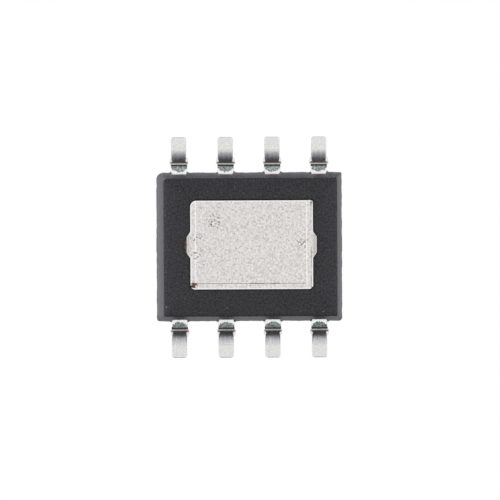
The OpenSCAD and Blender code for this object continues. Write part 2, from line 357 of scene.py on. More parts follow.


# The body's outer rings, from the underside to the top. Each is the parting outline drawn in by the
# profile's insets, pushed out by the flash, the ragged parting line and the ripple, and back at the
# leads' exits. Three values go with it: flank is 1 on the flanks, shade is painted shade, and pale is painted
# sheen
def outerRings(ends, profile, shoulderWidth):
    outward = roundRectRing(1, 1, 1)
    onEnds, onSides = (np.abs(outward) > 0.9).T
    radii = np.array(resin["cornerRadii"])
    outline = roundRectRing(halfX, halfY, radii)
    around = np.concatenate([[0], np.cumsum(np.linalg.norm(np.diff(outline, axis=0), axis=1))])
    flash, exits = leadExits(outline, outward, shoulderWidth)
    fromTie = np.abs(outline[:, 1] - padCentre[1]) - pad["tieWidth"] / 2
    tieEnd = (np.abs(outward[:, 0]) > 0.99) * softStep(*resin["tieCalm"], fromTie)
    ragged = wavy(around, resin["raggedPeriod"], resin["raggedSeed"]) * resin["ragged"] * (1 - tieEnd)
    rings, flanks, shades, pales = [], [], [], []
    for endInset, sideInset, z in profile:
        corners = np.maximum(radii - sideInset / 2, resin["leastRadius"])
        ring = roundRectRing(halfX - endInset, halfY - sideInset, corners)
        ring[:, 0] += mismatch * endInset / ends * (z < middleZ)
        fromStrip = abs(z - middleZ) - stripT / 2
        fromEdge = endInset - ends
        push = flash * softStep(*resin["flashHeight"], fromStrip)
        push += ragged * math.exp(-((z - middleZ) / resin["raggedHeight"]) ** 2)
        ripple = wavy(around + resin["rippleTwist"] * z, resin["ripplePeriod"], resin["rippleSeed"])
        push += ripple * resin["ripple"] * (fromEdge < 0)
        push -= exits * resin["exitSetback"] * softStep(*resin["exitHeight"], fromStrip)
        rings.append(atHeight(ring + outward * push[:, None], z))
        # painted sheen: the flanks' paler colour carried in along the underside's end edges
        edgeSheen = resin["edgeSheen"] * math.exp(-max(fromEdge, 0) / resin["edgeSheenFade"])
        edgeSheen *= fromEdge > resin["flankEdge"][1]
        flanks.append(np.maximum(softStep(*resin["flankEdge"], fromEdge), edgeSheen * onEnds))
        # painted shade along the +Y lower edge
        edgeShadeReach = resin["edgeShadeReach"][0 if fromEdge > 0 else 1]
        edgeShade = resin["edgeShade"] * math.exp(-(fromEdge / edgeShadeReach) ** 2) * (z < middleZ)
        # painted shadow above and below each lead's exit
        exitShade = exits * softStep(*resin["exitShade"], fromStrip)
        shades.append(np.maximum(edgeShade * (outward[:, 1] > 0.9), exitShade))
        # painted sheen on the sides' flanks, fading below the parting line
        pale = math.exp((z - stripLow) / resin["paleFade"]) if z < stripLow else 0
        pales.append(pale * onSides * np.where(outward[:, 1] < 0, 1, resin["farPale"]))
    return rings, flanks, shades, pales


# The pin 1 dimple, which closes the top: circles about its centre, down a bowl with rounded corners.
# Its polish is full inside the bowl's wall
def dimpleRings(border, ends, sides):
    centre = np.array([-1, -1]) * (np.array([halfX - ends, halfY - sides]) - resin["dimpleInset"])
    toward = border[:, :2] - centre
    toward /= np.linalg.norm(toward, axis=1)[:, None]
    r, wall, foot = resin["dimple"] / 2, resin["dimpleWall"], resin["dimpleFoot"]
    bottom = roofZ - resin["dimpleDepth"]
    corners = [(r + resin["dimpleFlat"], roofZ), (r, roofZ), (r - wall, bottom),
               (r - resin["dimpleFloor"], bottom)]
    bowl = roundedPath(corners, [wall, foot])
    rings = [atHeight(centre + toward * radius, z) for radius, z in bowl]
    return rings, softStep(r, r - resin["polishFade"], bowl[:, 0])


# The moulded body as one stack of rings: the wall and lip round the pad, the underside, the flanks
# with their parting line, the top and the dimple
def makeResin(shoulderWidth):
    ends, sides, profile = bodyProfile()
    rings, flanks, shades, pales = outerRings(ends, profile, shoulderWidth)
    lip = resin["chamfer"]
    lipPath = [(0, resin["recess"]), (0, lip), (lip, 0)] + [(lip + past, 0) for past in resin["lipRings"]]
    pocket = [atHeight(bareRing(-out, slot=pad["slot"]), floorZ + up) for out, up in lipPath]
    dimple, polish = dimpleRings(rings[-1], ends, sides)
    below = np.zeros((len(pocket), len(rings[0])))
    above = np.zeros((len(dimple), len(rings[0])))
    attributes = {
        "flank": np.concatenate([below, flanks, above]),
        # painted shadow on the wall and lip round the pad, and painted shade on the outer rings
        "shade": np.concatenate([below + np.array(resin["wallShades"])[:, None], shades, above]),
        "pale": np.concatenate([below, pales, above]),
        "polish": np.concatenate([np.zeros(len(pocket) + len(rings)), polish])[:, None],
    }
    return makePiece("resin_body", [ringShell(np.concatenate([pocket, rings, dimple]), attributes)])


# Thermal paddle: one stamped copper strip with the pad, its locking rim and two tie bars. The pad
# is rings from the middle of its underside to its edge, then the edge, the locking rim and the top.
# The coined border stands back by its depth beyond a soft step, which has a small lip beside it
def padShell():
    length, width = pad["length"] / 2, pad["width"] / 2
    # the rings stand wide apart in the middle and close up across the coined step
    wide, close, outer = [1.15, 0.9, 0.65, 0.45, 0.32, 0.26], (0.23, 0.13, -0.006), (0.13, 0.03, -0.01)
    insets = np.concatenate([wide, np.arange(*close), np.arange(*outer)])
    r = pad["edgeRadius"]
    edge = [(r * (1 - math.sin(a)), r * (1 - math.cos(a))) for a in np.linspace(0, math.pi / 2, 7)]
    rings, ends, sides, rims = [], [], [], []
    for inset, rise in [(i, 0) for i in insets] + edge:
        ring = bareRing(inset, rootShare=softStep(*pad["rootFade"], inset))
        x, y = (ring - padCentre).T
        fromEnd = np.abs(x - pad["coinShift"]) - (length - pad["coinWidth"])
        fromSide = y - (width - pad["coinWidth"])
        fromBorder = np.maximum(fromEnd, fromSide)
        coin = softStep(-pad["coinStep"], pad["coinStep"], fromBorder) * pad["coinDepth"]
        lip = pad["lip"] * np.exp(-((fromBorder + pad["lipPlace"]) / pad["coinStep"]) ** 2)
        rings.append(atHeight(ring, floorZ + np.maximum(rise, coin) - lip))
        ends.append(fromEnd)
        sides.append(fromSide)
        rims.append(inset)
    top = floorZ + stripT
    under, grow = top - pad["rimThickness"], pad["rimReach"]
    for reach, z in ((0, under), (grow, under), (grow, top), (-pad["topInset"], top)):
        ring = roundRectRing(length + reach, width + reach, pad["rimRadii"]) + padCentre
        rings.append(atHeight(ring if reach else bareRing(), z))
        ends.append(np.ones(len(ring)))
        sides.append(np.ones(len(ring)))
        rims.append(0)
    attributes = {"endLine": np.array(ends), "sideLine": np.array(sides), "rim": np.array(rims)[:, None],
                  "copper": 0.0}
    return ringShell(np.array(rings), attributes)


# A tie bar: a strip section carried up its jogged line from the pad to the end of the body
def tieBarShell(side):
    section = stripSection()
    corner = pad["edgeRadius"] / 2
    across = section[:, 0] * (pad["tieWidth"] / 2 - corner) + section[:, 2] * corner
    through = section[:, 1] * (stripT / 2 - corner) + section[:, 3] * corner
    rootZ = floorZ + pad["coinDepth"] + pad["tieBehind"]
    start = pad["length"] / 2 + pad["rootLength"] + side * padCentre[0]
    start -= pad["tieLap"] + pad["tieSink"] * (side > 0)
    _, out, up, angle = joggedLine(pad["tieLap"], pad["tieRun"], stripLow - rootZ, pad["tieSlope"],
                                   pad["bendRadius"], pad["tieSteps"])
    last = halfX + pad["tieProud"] - start
    kept = out < last
    out, up, angle = (np.append(v[kept], v[kept][-1]) for v in (out, up, angle))
    out[-1] = last
    x = side * (start + out[:, None] - np.sin(angle)[:, None] * through)
    z = rootZ + stripT / 2 + up[:, None] + np.cos(angle)[:, None] * through
    y = np.broadcast_to(across + padCentre[1], x.shape)
    return ringShell(np.stack([x, y, z], -1), {"endLine": 1.0, "sideLine": 1.0, "rim": 1.0, "copper": 1.0})


# Leads: strips with rounded edges, formed to a gull wing. Places on a lead are distances from the body
lead = {
    "lean": 8,                 # of the leg from upright, degrees
    "bendRadius": 0.08,
    "footLength": 0.37,
    "footWidth": 0.415,
    "legWidth": 0.365,
    "shoulderWidth": 0.45,
    "headWidth": 0.6,          # locking head inside the resin
    "headLength": 0.26,
    "headFlare": 0.075,
    "stubPlace": 0.1,          # middle of the dam bar's stubs, past the start of the bend
    "stubReach": 0.05,         # how far each stands out
    "stubSpread": (0.8, 1.15), # least and most share of that reach
    "stubLength": 0.1,
    "stubTaper": 2.6,          # how much longer a stub runs out towards the foot
    "stubFull": 1.35,          # half lengths out to where it runs out
    "stubCurve": 1.5,          # power of its outline
    "ridge": 0.012,            # height of the burr that the dam bar's cut leaves under the lead
    "ridgePlace": 0.236,       # its middle
    "ridgeWidth": 0.04,
    "shadeLine": 0.196,           # place of the painted shade line beside it
    "shadeLineWidth": 0.04,
    "reflectionLength": 0.186,      # painted dark reflection under the shoulder, half an ellipse
    "reflectionHalf": 0.235,        # half its width
    "reflectionDarkness": {-1: (0.2, 0.5), 1: (0.6, 1)},   # least and most of that painted reflection's darkness on each side
    "shoulder": (0.24, 0.18),  # its painted highlight
    "legStart": (0.25, 0.27),  # the painted shade on the leg's inner side
    "legEnd": (0.66, 0.44),
    "throat": (0.36, 0.28),    # the darker painted shade at its start
    "edgeRadius": 0.035,
    "tipRadius": 0.014,        # of the edges round the sheared end
    "tipCorner": 0.07,         # round corners of the sheared end, seen from below
    "tipShare": 0.97,          # of the quarter circle that the corner takes up
    "cutDepth": 0.004,         # how far the bare cut reaches back from the tip
    "pathSteps": 320,
    "firstSeed": 20,           # of the small spread between the leads
}


# Middle line of a lead: the distance along it, the distance from the body's middle, the height, the
# angle down, and where the shoulder's bend starts
def leadLine(name):
    low, high = leadBoxes[name]
    start, tip = sorted((abs(low[1]), abs(high[1])))
    steep = 90 - lead["lean"]
    turn = math.radians(steep)
    radius = lead["bendRadius"] + stripT / 2
    jog = 2 * radius * math.sin(turn) + (stripLow - 2 * radius * (1 - math.cos(turn))) / math.tan(turn)
    upper = tip - lead["footLength"] - jog - start
    s, out, down, angle = joggedLine(upper, lead["footLength"], stripLow, steep, lead["bendRadius"],
                                     lead["pathSteps"])
    return s, start + out, middleZ - down, angle, upper


# Half the width along a lead: from the head's to the shoulder's inside the resin, to the foot's down
# the leg, and less along a quarter circle at the sheared end's corners
def halfWidth(s, upper):
    neck = lead["headLength"] + lead["headFlare"]
    legTop = upper + lead["stubPlace"] + lead["stubLength"]
    places = [0, lead["headLength"], neck, upper, legTop, s[-1] - lead["footLength"]]
    keys = ("headWidth", "headWidth", "shoulderWidth", "shoulderWidth", "legWidth", "footWidth")
    half = np.interp(s, places, [lead[key] for key in keys]) / 2
    pastCorner = np.clip((s - s[-1]) / lead["tipCorner"] + 1, 0, 1)
    return half - lead["tipCorner"] * (1 - np.sqrt(1 - (lead["tipShare"] * pastCorner) ** 2))


# How much of its reach a stub has along the lead: up steeply, and down slowly towards the foot
def stubShape(s, upper):
    past = (s - upper - lead["stubPlace"]) / (lead["stubLength"] / 2)
    past = np.maximum(-past, past / lead["stubTaper"])
    return np.clip(lead["stubFull"] - past, 0, 1) ** lead["stubCurve"]


# A lead: the strip's section, as wide as the lead and its stubs, carried along its middle line. The
# section shrinks to the tip's radius, and the burr stands out of its underside
def makeLead(name, seed):
    rng = np.random.default_rng(seed)
    s, y, z, angle, upper = leadLine(name)
    shrink = softStep(s[-1] - lead["tipRadius"], s[-1], s) * lead["tipRadius"]
    section = stripSection()
    r = lead["edgeRadius"]
    reach = lead["stubReach"] * rng.uniform(*lead["stubSpread"], 2)
    stubs = np.where(section[:, 0] > 0, *reach) * stubShape(s, upper)[:, None]
    halfW = (halfWidth(s, upper) - shrink)[:, None] + stubs
    halfT = (stripT / 2 - shrink)[:, None]
    across = section[:, 0] * (halfW - r) + section[:, 2] * r
    through = section[:, 1] * (halfT - r) + section[:, 3] * r
    y, z, sine, cosine = (v[:, None] for v in (y, z, np.sin(angle), np.cos(angle)))
    fromBody = y + sine * through - halfY
    ridge = lead["ridge"] * softStep(lead["ridgeWidth"] / 2, 0, np.abs(fromBody - lead["ridgePlace"]))
    through = through - ridge * ((through < 0) & (z > stripT))
    points = np.stack([leadX[name] + across, leadSide[name] * (y + sine * through), z + cosine * through], -1)
    attributes = {
        "fromBody": fromBody,
        "across": across,
        "through": through / halfT,
        "cut": softStep(s[-1] - lead["cutDepth"], s[-1], s)[:, None],
        # how dark the painted reflection under the shoulder is on this lead
        "reflectionDarkness": rng.uniform(*lead["reflectionDarkness"][leadSide[name]]),
    }
    return makePiece(name.replace("lead", "tinned_lead"), [ringShell(points, attributes)])


resinBody = makeResin(lead["shoulderWidth"])
barePaddle = makePiece("bare_paddle", [padShell(), tieBarShell(-1), tieBarShell(1)])
leads = [makeLead(name, lead["firstSeed"] + k) for k, name in enumerate(leadNames)]
print("pieces made:", 2 + len(leads))


# sRGB hex colour to linear red, green, blue and alpha
def toLinear(hexColour):
    channels = np.array([int(hexColour[i:i + 2], 16) for i in (1, 3, 5)]) / 255
    linear = np.where(channels <= 0.04045, channels / 12.92, ((channels + 0.055) / 1.055) ** 2.4)
    return (*linear.tolist(), 1.0)


# Adds one node. An input is a value, a hex colour, an output to link, or a node whose first
# output in use is linked; the rest are the node's settings
def addNode(tree, kind, inputs=None, **settings):
    node = tree.nodes.new("ShaderNode" + kind)
    for name, value in settings.items():
        setattr(node, name, value)
    for socket, value in (inputs or {}).items():
        if isinstance(value, bpy.types.Node):
            value = next(o for o in value.outputs if o.enabled)
        if isinstance(value, bpy.types.NodeSocket):
            tree.links.new(value, node.inputs[socket])
        else:
            node.inputs[socket].default_value = toLinear(value) if isinstance(value, str) else value
    return node


# An empty material, with its object coordinates in millimetres
def newMaterial(name):
    material = bpy.data.materials.new(name)
    material.use_nodes = True
    tree = material.node_tree
    tree.nodes.clear()
    place = addNode(tree, "TexCoord")
    inMm = addNode(tree, "VectorMath", {0: place.outputs["Object"], "Scale": 1 / mm}, operation="SCALE")
    return material, tree, inMm


# Closes a material: its principled shader, and a bump of a depth in millimetres
def closeMaterial(tree, inputs, height=None, depth=0.001):
    if height is not None:
        inputs["Normal"] = addNode(tree, "Bump", {"Height": height, "Distance": depth * mm})
    shader = addNode(tree, "BsdfPrincipled", inputs)
    addNode(tree, "OutputMaterial", {"Surface": shader})


# Epoxy moulding compound, four fifths silica powder: black with a dull, finely pitted skin,
# smoother on the flanks, which are painted paler as a sheen of the light that comes in low
def mouldingCompound():
    material, tree, place = newMaterial("epoxy moulding compound, spark eroded")
    flank, shade, pale, polish = (addNode(tree, "Attribute", attribute_name=n).outputs["Fac"]
                                  for n in ("flank", "shade", "pale", "polish"))
    # pits of the eroded mould, really 0.03 mm, are drawn 0.05 mm, and silica at the skin 0.07 mm
    pits = addNode(tree, "TexNoise", {"Vector": place, "Scale": 20, "Detail": 4})
    clouds = addNode(tree, "TexNoise", {"Vector": place, "Scale": 2.5})
    grains = addNode(tree, "TexNoise", {"Vector": place, "Scale": 14, "Detail": 0})
    pitted = addNode(tree, "MapRange", {"Value": pits, "From Min": 0.3, "From Max": 0.7})
    cloudy = addNode(tree, "MapRange", {"Value": clouds, "From Min": 0.35, "From Max": 0.65, "To Max": 0.4})
    silica = addNode(tree, "MapRange", {"Value": grains, "From Min": 0.8, "From Max": 0.88, "To Max": 0.6})
    _, side, height = addNode(tree, "SeparateXYZ", {0: place}).outputs
    bands = addNode(tree, "TexNoise", {"W": height, "Scale": 9, "Detail": 2}, noise_dimensions="1D")
    banded = addNode(tree, "Mix", {0: 0.35, 2: pitted, 3: bands})
    # painted sheen on the sides' flanks, fullest at the parting line
    paleness = addNode(tree, "MapRange", {"Value": pitted, "To Min": 0.35, "To Max": 0.9})
    paleness = addNode(tree, "Math", {0: paleness, 1: pale}, operation="MULTIPLY")
    # painted shade that darkens the end flanks towards the underside, and the whole of the +Y one
    high, low = resin["shadeHeight"]
    lower = addNode(tree, "MapRange", {"Value": height, "From Min": high, "From Max": low, "To Max": 0.4})
    inner, outer = (halfY - inset for inset in resin["sideFade"])
    spared = addNode(tree, "MapRange", {"Value": side, "From Min": -outer, "From Max": -inner})
    lower = addNode(tree, "Math", {0: lower, 1: spared}, operation="MULTIPLY")
    shaded = addNode(tree, "MapRange", {"Value": side, "From Min": inner, "From Max": outer, "To Max": 0.35})
    shaded = addNode(tree, "Math", {0: lower, 1: shaded}, operation="MAXIMUM")
    # each layer covers its share of what lies under it: first the flanks, whose paler colour is a painted
    # sheen, then the whole body, with the painted shade last
    flankColour = addNode(tree, "Mix", {0: banded, 6: "#2c2a31", 7: "#68666f"}, data_type="RGBA")
    for share, tone in ((silica, "#9a9aa0"), (paleness, "#a2a0aa"), (shaded, "#1b1a1e")):
        flankColour = addNode(tree, "Mix", {0: share, 6: flankColour, 7: tone}, data_type="RGBA")
    colour = addNode(tree, "Mix", {0: pitted, 6: "#0b0b0d", 7: "#2a2b2f"}, data_type="RGBA")
    for share, tone in ((cloudy, "#29282c"), (silica, "#6a6c70"), (flank, flankColour), (shade, "#0a0a0b")):
        colour = addNode(tree, "Mix", {0: share, 6: colour, 7: tone}, data_type="RGBA")
    dull = addNode(tree, "MapRange", {"Value": pitted, "To Min": 0.6, "To Max": 0.5})
    dull = addNode(tree, "Mix", {0: flank, 2: dull, 3: 0.4})
    dull = addNode(tree, "Mix", {0: polish, 2: dull, 3: 0.22})
    gloss = addNode(tree, "MapRange", {"Value": pitted, "To Min": 0.25, "To Max": 0.55})
    flankGloss = addNode(tree, "MapRange", {"Value": shaded, "To Min": 0.52, "To Max": 0})
    gloss = addNode(tree, "Mix", {0: flank, 2: gloss, 3: flankGloss})
    relief = addNode(tree, "Math", {0: clouds, 1: 0.5, 2: pits}, operation="MULTIPLY_ADD")
    closeMaterial(tree, {"Base Color": colour, "Roughness": dull, "Specular IOR Level": gloss, "IOR": 1.5},
                  relief, 0.005)
    return material


# Matt tin plated on the copper pad: a pale warm grey, granular, with painted highlights and shade
# lines along the coined steps and edges, scuffs from handling, and brown bare copper where resin kept the tin
# off
def matteTinPad():
    material, tree, place = newMaterial("matt tin on copper pad")
    endLine, sideLine, rim, copper = (addNode(tree, "Attribute", attribute_name=n).outputs["Fac"]
                                      for n in ("endLine", "sideLine", "rim", "copper"))
    x, y = addNode(tree, "SeparateXYZ", {0: place}).outputs[:2]
    # tin grains, really under 0.005 mm, are drawn 0.055 mm, and the winding ridges among them 0.17 mm
    grain = addNode(tree, "TexNoise", {"Vector": place, "Scale": 18, "Detail": 3})
    worms = addNode(tree, "TexNoise", {"Vector": place, "Scale": 6, "Detail": 2, "Distortion": 2.5})
    grainy = addNode(tree, "MapRange", {"Value": grain, "From Min": 0.3, "From Max": 0.7})
    wormy = addNode(tree, "MapRange", {"Value": worms, "From Min": 0.54, "From Max": 0.64, "To Max": 0.6})
    layers = [(wormy, "#cdc7c5")]
    # painted highlights along each end's coined step and along the edge
    fromLine = addNode(tree, "Math", {0: endLine}, operation="ABSOLUTE")
    low, full = pad["endHighlight"]
    line = addNode(tree, "MapRange", {"Value": fromLine, "From Min": low, "From Max": full})
    low, full = pad["edgeHighlight"]
    edge = addNode(tree, "MapRange", {"Value": rim, "From Min": low, "From Max": full})
    patchy = addNode(tree, "MapRange", {"Value": worms, "From Min": 0.35, "From Max": 0.55, "To Min": 1.0,
                                      "To Max": 0.7})
    line = addNode(tree, "Math", {0: line, 1: patchy}, operation="MULTIPLY")
    bright = addNode(tree, "Math", {0: line, 1: edge}, operation="MAXIMUM")
    layers.append((bright, "#ffffff"))
    # the roots, rubbed grey by the resin that was cleared off them
    low, full = pad["rootGrey"]
    root = addNode(tree, "MapRange", {"Value": endLine, "From Min": low, "From Max": full, "To Max": 0.6})
    layers.append((root, "#b9b4b0"))
    # a thin broken painted shadow line along the +X edge
    shadowLineX = padCentre[0] + pad["length"] / 2 - pad["shadowLineInset"]
    inside = addNode(tree, "Math", {0: x, 1: shadowLineX, 2: pad["shadowLineWidth"] / 2}, operation="COMPARE")
    breaks = addNode(tree, "TexNoise", {"W": y, "Scale": 1.7, "Detail": 2}, noise_dimensions="1D")
    broken = addNode(tree, "MapRange", {"Value": breaks, "From Min": 0.46, "From Max": 0.58, "To Max": 0.7})
    inside = addNode(tree, "Math", {0: inside, 1: broken}, operation="MULTIPLY")
    layers.append((inside, "#9f9a95"))
    # the broken painted shade line along the +Y border's coined step
    fromLine = addNode(tree, "Math", {0: sideLine}, operation="ABSOLUTE")
    low, full = pad["sideLine"]
    line = addNode(tree, "MapRange", {"Value": fromLine, "From Min": low, "From Max": full})
    breaks = addNode(tree, "TexNoise", {"W": x, "Scale": 2.2, "Detail": 1}, noise_dimensions="1D")
    broken = addNode(tree, "MapRange", {"Value": breaks, "From Min": 0.54, "From Max": 0.6})
    line = addNode(tree, "Math", {0: line, 1: broken}, operation="MULTIPLY")
    layers.append((line, "#a39e99"))
    # small dark specks, few over the whole pad and more in each scuff
    specks = addNode(tree, "MapRange", {"Value": grain, "From Min": 0.37, "From Max": 0.31, "To Max": 0.5})
    layers.append((specks, "#8e8985"))
    specks = addNode(tree, "MapRange", {"Value": grain, "From Min": 0.47, "From Max": 0.39})
    for scuffX, scuffY, reach in pad["scuffs"]:
        away = addNode(tree, "VectorMath", {0: place, 1: (scuffX, scuffY, floorZ)}, operation="DISTANCE")
        away = away.outputs["Value"]
        patch = addNode(tree, "MapRange", {"Value": away, "From Min": reach, "From Max": reach / 2})
        scuff = addNode(tree, "Math", {0: patch, 1: specks}, operation="MULTIPLY")
        layers.append((scuff, "#8f8a87"))
    # bare copper on the tie bars and at three corners
    low, full = pad["copperFade"]
    for cornerX, cornerY, reach in pad["corners"]:
        away = addNode(tree, "VectorMath", {0: place, 1: (cornerX, cornerY, floorZ)}, operation="DISTANCE")
        away = addNode(tree, "Math", {0: worms, 1: pad["copperWander"], 2: away.outputs["Value"]},
                       operation="MULTIPLY_ADD")
        bare = addNode(tree, "MapRange", {"Value": away, "From Min": reach + low, "From Max": reach + full})
        copper = addNode(tree, "Math", {0: copper, 1: bare}, operation="MAXIMUM")
    tarnish = addNode(tree, "Mix", {0: grainy, 6: "#43352f", 7: "#74604f"}, data_type="RGBA")
    layers.append((copper, tarnish))
    # each layer covers its share of those before it
    colour = addNode(tree, "Mix", {0: grainy, 6: "#d4d0ce", 7: "#fbf8f6"}, data_type="RGBA")
    for share, tone in layers:
        colour = addNode(tree, "Mix", {0: share, 6: colour, 7: tone}, data_type="RGBA")
    dull = addNode(tree, "MapRange", {"Value": grainy, "To Min": 0.48, "To Max": 0.36})
    height = addNode(tree, "Math", {0: worms, 1: 0.6, 2: grain}, operation="MULTIPLY_ADD")
    closeMaterial(tree, {"Base Color": colour, "Roughness": dull, "Metallic": 1.0}, height, 0.002)
    return material


# Matt tin plated on a formed copper lead: bright and faintly granular, streaked along the bent leg,
# with a painted highlight on the shoulder, a painted dark reflection under it, painted shade on the leg's
# inner side, and copper in the cut end
def matteTinLead():
    material, tree, place = newMaterial("matt tin on copper lead")
    fromBody, across, through, cut, reflectionDarkness = (addNode(tree, "Attribute", attribute_name=n).outputs["Fac"]
                                             for n in ("fromBody", "across", "through", "cut", "reflectionDarkness"))
    # tin grains, really under 0.005 mm, are drawn 0.045 mm, and the bending die's marks are 0.03 mm wide
    grain = addNode(tree, "TexNoise", {"Vector": place, "Scale": 22, "Detail": 3})
    drawn = addNode(tree, "Mapping", {"Vector": place, "Scale": (30, 2.5, 2.5)})
    streaks = addNode(tree, "TexNoise", {"Vector": drawn, "Scale": 1, "Detail": 2})
    grainy = addNode(tree, "MapRange", {"Value": grain, "From Min": 0.3, "From Max": 0.7})
    streaky = addNode(tree, "MapRange", {"Value": streaks, "From Min": 0.35, "From Max": 0.65})
    shoulder, leg, legEnd, throat = (
        addNode(tree, "MapRange", {"Value": fromBody, "From Min": lead[key][0], "From Max": lead[key][1]})
        for key in ("shoulder", "legStart", "legEnd", "throat"))
    under = addNode(tree, "MapRange", {"Value": through, "From Min": -0.5, "From Max": -0.75})
    # painted highlight on the shoulder
    layers = [(shoulder, "#fbfbfa")]
    # painted shade on the leg's inner side, darker at its start
    leg = addNode(tree, "Math", {0: leg, 1: legEnd}, operation="MULTIPLY")
    leg = addNode(tree, "Math", {0: leg, 1: under}, operation="MULTIPLY")
    mottled = addNode(tree, "Mix", {0: 0.5, 2: streaky, 3: grainy})
    shadedLeg = addNode(tree, "Mix", {0: mottled, 6: "#8f9095", 7: "#cfd0d4"}, data_type="RGBA")
    shadedLeg = addNode(tree, "Mix", {0: throat, 6: shadedLeg, 7: "#8c8c92"}, data_type="RGBA")
    layers.append((leg, shadedLeg))
    # painted dark reflection under the shoulder: half an ellipse with its flat side at the painted shade line
    beforeShadeLine = addNode(tree, "Math", {0: lead["shadeLine"], 1: fromBody}, operation="SUBTRACT")
    flat = addNode(tree, "Math", {0: beforeShadeLine, 1: lead["reflectionLength"]}, operation="DIVIDE")
    wide = addNode(tree, "Math", {0: across, 1: lead["reflectionHalf"]}, operation="DIVIDE")
    both = addNode(tree, "CombineXYZ", {0: flat, 1: wide})
    away = addNode(tree, "VectorMath", {0: both}, operation="LENGTH").outputs["Value"]
    away = addNode(tree, "Math", {0: grain, 1: 0.5, 2: away}, operation="MULTIPLY_ADD")
    reflection = addNode(tree, "MapRange", {"Value": away, "From Min": 1.25, "From Max": 1.15})
    before = addNode(tree, "MapRange", {"Value": beforeShadeLine, "From Min": -0.01, "From Max": 0.01})
    reflection = addNode(tree, "Math", {0: reflection, 1: before}, operation="MULTIPLY")
    reflection = addNode(tree, "Math", {0: reflection, 1: under}, operation="MULTIPLY")
    lighter = addNode(tree, "Mix", {0: grainy, 6: "#596165", 7: "#d3dadc"}, data_type="RGBA")
    shaded = addNode(tree, "Mix", {0: grainy, 6: "#33393b", 7: "#8d9698"}, data_type="RGBA")
    blotched = addNode(tree, "Mix", {0: reflectionDarkness, 6: lighter, 7: shaded}, data_type="RGBA")
    # the painted reflection darkens further towards its flat side
    foot = addNode(tree, "MapRange", {"Value": flat, "From Min": 0.35, "From Max": 0.0, "To Max": 0.5})
    blotched = addNode(tree, "Mix", {0: foot, 6: blotched, 7: "#3b4042"}, data_type="RGBA")
    layers.append((reflection, blotched))
    # the painted shade line, and the torn burr beside it: a real ridge, whose pale, barely metallic finish is
    # also a painted highlight
    onShadeLine = addNode(tree, "Math", {0: fromBody, 1: lead["shadeLine"], 2: lead["shadeLineWidth"] / 2},
                       operation="COMPARE")
    onShadeLine = addNode(tree, "Math", {0: onShadeLine, 1: under}, operation="MULTIPLY")
    layers.append((onShadeLine, "#343536"))
    burr = addNode(tree, "Math", {0: fromBody, 1: lead["ridgePlace"], 2: lead["ridgeWidth"] / 2},
                   operation="COMPARE")
    burr = addNode(tree, "Math", {0: burr, 1: under}, operation="MULTIPLY")
    layers.append((burr, "#c6c0b5"))
    # copper in the sheared end, with tin dragged over its upper half
    dragged = addNode(tree, "Math", {0: streaky, 1: 0.4, 2: through}, operation="MULTIPLY_ADD")
    bare = addNode(tree, "MapRange", {"Value": dragged, "From Min": 0.45, "From Max": -0.05})
    bare = addNode(tree, "Math", {0: bare, 1: cut}, operation="MULTIPLY")
    layers.append((bare, "#a37d65"))
    # each layer covers its share of those before it
    colour = addNode(tree, "Mix", {0: grainy, 6: "#d8d8d6", 7: "#f2f2f0"}, data_type="RGBA")
    for share, tone in layers:
        colour = addNode(tree, "Mix", {0: share, 6: colour, 7: tone}, data_type="RGBA")
    dull = addNode(tree, "MapRange", {"Value": grainy, "To Min": 0.32, "To Max": 0.22})
    dull = addNode(tree, "Mix", {0: leg, 2: dull, 3: 0.52})
    dull = addNode(tree, "Mix", {0: burr, 2: dull, 3: 0.6})
    metal = addNode(tree, "MapRange", {"Value": burr, "To Min": 1.0, "To Max": 0.2})
    height = addNode(tree, "Math", {0: streaks, 1: leg, 2: grain}, operation="MULTIPLY_ADD")
    closeMaterial(tree, {"Base Color": colour, "Roughness": dull, "Metallic": metal}, height, 0.002)
    return material


# Gold wire drawn to size: smooth and yellow, with faint die lines
def drawnGold():
    material, tree, place = newMaterial("drawn gold wire")
    lines = addNode(tree, "TexNoise", {"Vector": place, "Scale": 100, "Detail": 1})   # 0.01 mm apart
    colour = addNode(tree, "Mix", {0: lines, 6: "#f0c060", 7: "#ffd98a"}, data_type="RGBA")
    closeMaterial(tree, {"Base Color": colour, "Metallic": 1.0, "Roughness": 0.2}, lines, 0.0005)
    return material


# Polished silicon: dark blue grey and mirror smooth
def polishedSilicon():
    material, tree, place = newMaterial("polished silicon")
    cloud = addNode(tree, "TexNoise", {"Vector": place, "Scale": 5, "Detail": 1})
    colour = addNode(tree, "Mix", {0: cloud, 6: "#34373f", 7: "#41454e"}, data_type="RGBA")
    closeMaterial(tree, {"Base Color": colour, "Metallic": 0.6, "Roughness": 0.12, "IOR": 3.5})
    return material


# Silver-filled epoxy adhesive: light grey paste with a dull sparkle of flakes
def silverEpoxy():
    material, tree, place = newMaterial("silver-filled adhesive")
    flakes = addNode(tree, "TexNoise", {"Vector": place, "Scale": 50, "Detail": 2})   # flakes 0.02 mm
    colour = addNode(tree, "Mix", {0: flakes, 6: "#8f8f8d", 7: "#c9c9c6"}, data_type="RGBA")
    closeMaterial(tree, {"Base Color": colour, "Metallic": 0.5, "Roughness": 0.45}, flakes, 0.003)
    return material


# Gives a piece its one material and its slot
def dress(piece, material):
    piece.data.materials.clear()
    piece.data.materials.append(material)


dress(resinBody, mouldingCompound())
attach(resinBody, "root")
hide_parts("mould_body")
dress(barePaddle, matteTinPad())
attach(barePaddle, "root")
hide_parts("thermal_paddle")
tin = matteTinLead()
for piece, name in zip(leads, leadNames):
    dress(piece, tin)
    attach(piece, "root")
    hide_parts(name)
gold = drawnGold()
for name in wireNames:
    dress(frame["nodes"][name], gold)
dress(frame["nodes"]["die"], polishedSilicon())
dress(frame["nodes"]["die_attach"], silverEpoxy())
print("materials assigned")


